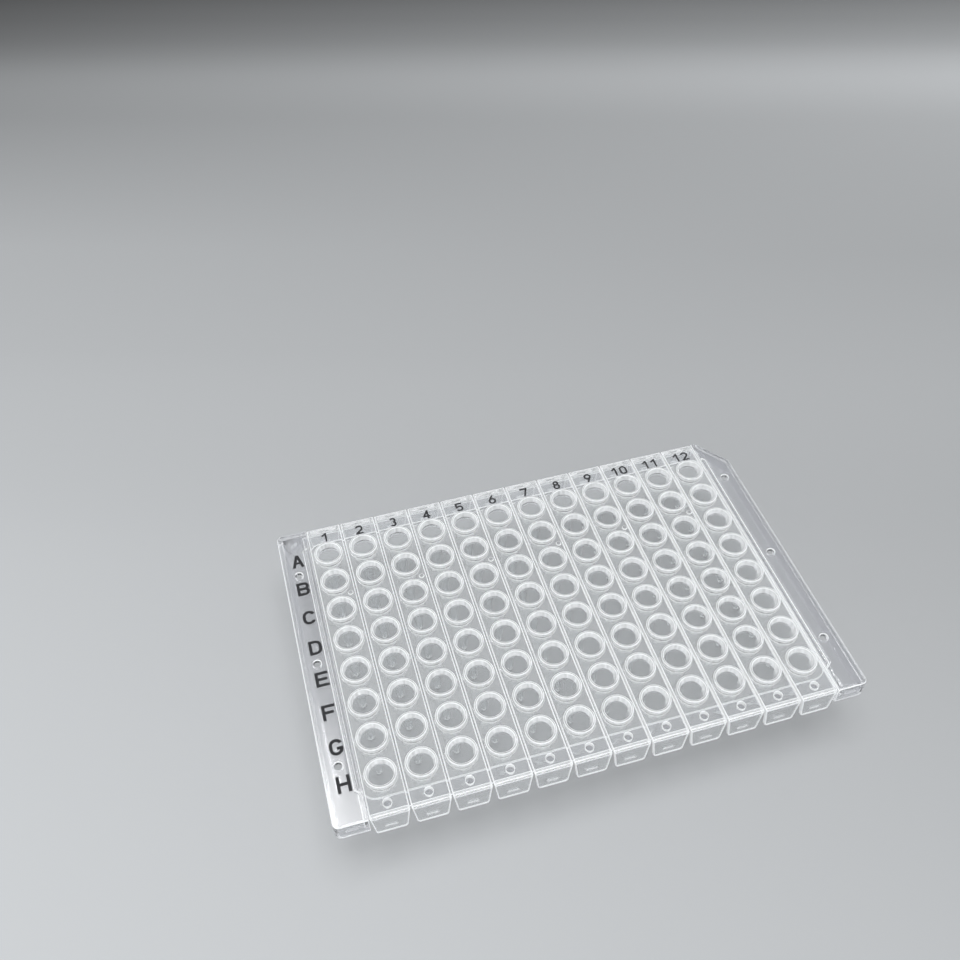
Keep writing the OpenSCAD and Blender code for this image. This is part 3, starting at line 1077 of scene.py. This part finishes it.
def studio_light():
    """An even bright studio with one dim patch, where the plate's decks would mirror it."""
    n = Nodes(bpy.data.worlds.new("studio"))
    n.owner.cycles.sampling_method = "NONE"
    toward = n.add("VectorMath", operation="DOT_PRODUCT")
    n.link(n.add("TexCoord").outputs["Generated"], toward.inputs[0])
    toward.inputs[1].default_value = DIM_WAY
    edges = [math.cos(math.radians(angle)) for angle in (DIM_OUTER, DIM_INNER)]
    level = n.ramp(
        toward.outputs["Value"], *edges, BRIGHT, DIM, interpolation_type="SMOOTHSTEP"
    )
    light = n.add("Background")
    light.inputs["Color"].default_value = STUDIO_TINT
    n.link(level, light.inputs["Strength"])
    n.link(light.outputs["Background"], n.add("OutputWorld").inputs["Surface"])
    return n.owner


def aimed(data, name, place, way):
    """A lamp or a camera at a place, in millimetres, that looks one way."""
    made = in_scene(data, name)
    made.location = Vector(place) * MM
    made.rotation_mode = "QUATERNION"
    made.rotation_quaternion = Vector(way).to_track_quat("-Z", "Y")
    return made


def light_only(lamp, name, pieces):
    """Keeps a lamp's light to some pieces."""
    lit = bpy.data.collections.new(name)
    for piece in pieces:
        lit.objects.link(piece)
    lamp.light_linking.receiver_collection = lit


def round_lamp(name, place, target, radius, watts):
    """A round lamp that faces a point, all in millimetres."""
    data = bpy.data.lights.new(name, "AREA")
    data.shape = "DISK"
    data.size = 2 * radius * MM
    data.energy = watts
    return aimed(data, name, place, Vector(target) - Vector(place))


floor = sweep_object("floor")
wear(floor, paper("grey_paper_painted_light"))

bpy.context.scene.world = studio_light()

# a small lamp that only makes a soft glare on the frame's satin deck, towards H
far_lamp = round_lamp(
    "far_lamp", place=(-112, 222, 600), target=(-60, -30, 14), radius=34, watts=0.8
)
light_only(far_lamp, "frame_only", [holder])

# a wider lamp that only makes flecks on the walls of the wells
wall_lamp = round_lamp(
    "wall_lamp", place=(-210, 270, 500), target=(0, 0, 14), radius=70, watts=0.28
)
light_only(wall_lamp, "strips_only", strips)

# a wide soft sun from above that only lights the floor, where it makes the plate's shadow
sun_data = bpy.data.lights.new("high_sun", "SUN")
sun_data.energy = SUN_SHARE * STUDIO_SHARE * BRIGHT * math.pi
sun_data.angle = math.radians(SUN_ANGLE)
sun = aimed(sun_data, "high_sun", place=(0, 0, 0), way=(-0.05, -0.15, -1))
light_only(sun, "floor_only", [floor])

# ---- camera ----

CAMERA_PLACE = (-53.23, -138.65, 217.29)
CAMERA_LOOKS = (0.17155, 0.66182, -0.72977)
CAMERA_ROLL = -1.83  # degrees
CAMERA_LENS = 38.46  # millimetres

camera_data = bpy.data.cameras.new("camera")
camera_data.sensor_width = 36
camera_data.lens = CAMERA_LENS
camera_data.clip_start = 0.01
camera = aimed(camera_data, "camera", CAMERA_PLACE, CAMERA_LOOKS)
roll = Quaternion((0, 0, 1), math.radians(CAMERA_ROLL))
camera.rotation_quaternion = camera.rotation_quaternion @ roll
bpy.context.scene.camera = camera

bpy.context.scene.view_settings.view_transform = "Standard"

# light passes many thin walls on its way
cycles = bpy.context.scene.cycles
cycles.max_bounces = 24
cycles.transmission_bounces = 24
cycles.transparent_max_bounces = 64
cycles.caustics_reflective = False
cycles.caustics_refractive = False
